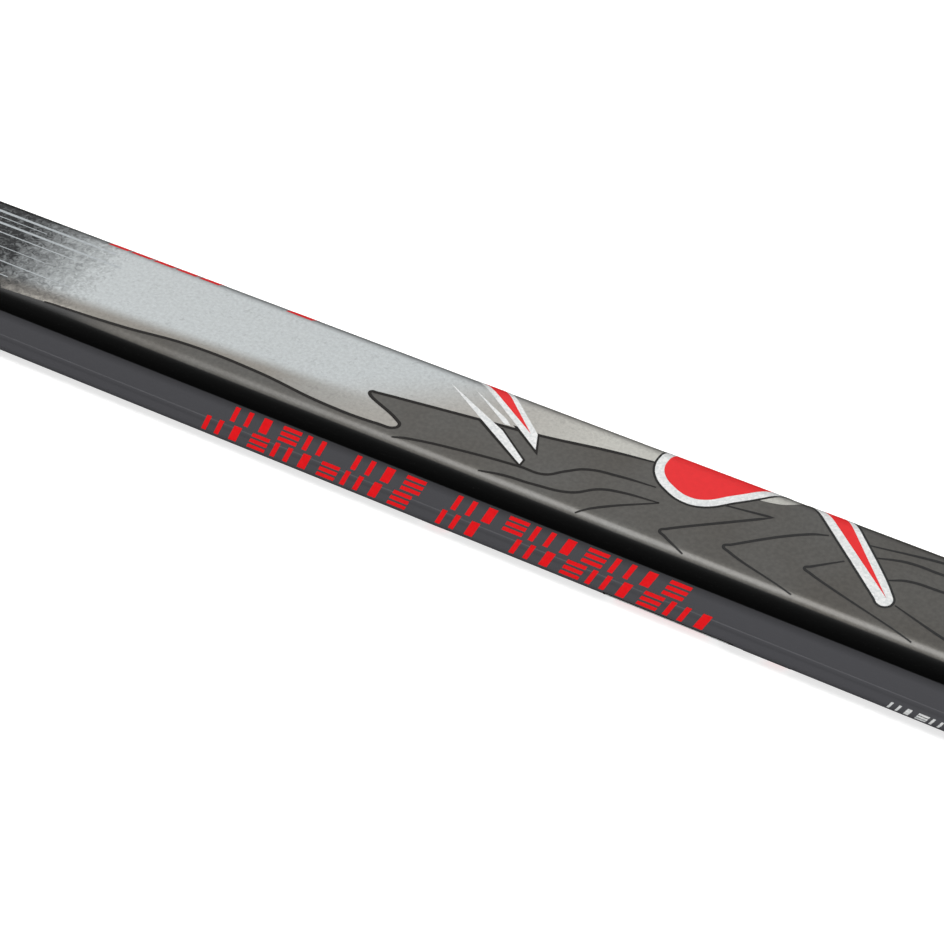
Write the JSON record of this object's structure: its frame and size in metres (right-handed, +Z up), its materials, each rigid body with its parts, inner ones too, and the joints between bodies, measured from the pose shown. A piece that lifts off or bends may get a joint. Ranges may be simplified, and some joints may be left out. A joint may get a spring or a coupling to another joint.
{
  "type": "ice hockey stick",
  "caption": "Senior ice hockey stick lying flat: hollow rectangular composite shaft, tapered neck, curved foam-cored blade and plugged butt end.",
  "frame": {"origin": "on the underside of the shaft, on its centreline, halfway between the butt end and the heel", "axes": "+X along the shaft from the butt end to the blade, +Y the side the blade turns to, +Z up through the shaft's wide faces"},
  "size_m": [1.7217, 0.2437, 0.0417],
  "materials": {
    "gloss_carbon": "painted and clear-coated carbon laminate, smooth gloss",
    "blade_carbon": "woven carbon laminate under a satin clear coat",
    "inner_carbon": "uncoated carbon laminate",
    "core_foam": "closed-cell structural foam",
    "cap_plastic": "fine-grained moulded nylon",
    "label_vinyl": "printed white vinyl sticker"
  },
  "bodies": {
    "root": {"shaft_tube": "gloss_carbon", "joint_wrap": "gloss_carbon", "blade_shell_forehand": "blade_carbon", "blade_shell_backhand": "blade_carbon", "blade_rib": "inner_carbon", "blade_tenon": "inner_carbon", "neck_core": "core_foam", "lower_core": "core_foam", "upper_core": "core_foam", "resin_stop": "core_foam", "butt_cap": "cap_plastic", "stock_label": "label_vinyl"}
  },
  "joints": []
}
